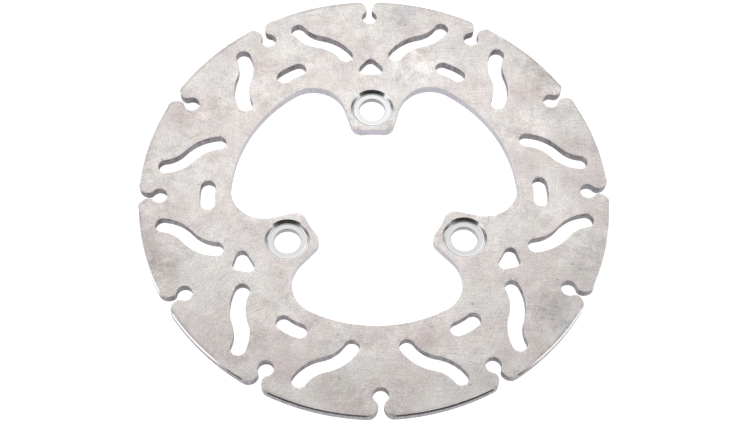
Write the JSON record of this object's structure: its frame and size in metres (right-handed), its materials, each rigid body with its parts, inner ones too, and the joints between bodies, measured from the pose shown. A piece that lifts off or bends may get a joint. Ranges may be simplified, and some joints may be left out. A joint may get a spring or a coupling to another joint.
{
  "type": "motorcycle brake disc",
  "caption": "Flat one-piece steel brake disc with a slotted, notched friction ring and inward ears with sunk bolt seats.",
  "frame": {"origin": "centre of the disc on the flat face that rests on the wheel hub", "axes": "+Z through the plate to the outer face, where the bolt seats are sunk; +Y towards one of the three bolts; +X completes the right-handed set"},
  "size_m": [0.1866, 0.1866, 0.004],
  "materials": {
    "ground_steel": "ground satin faces, laser-cut slot walls, turned rim chamfer and turned bolt seats"
  },
  "bodies": {
    "root": {"brake_disc": "ground_steel"}
  },
  "joints": []
}
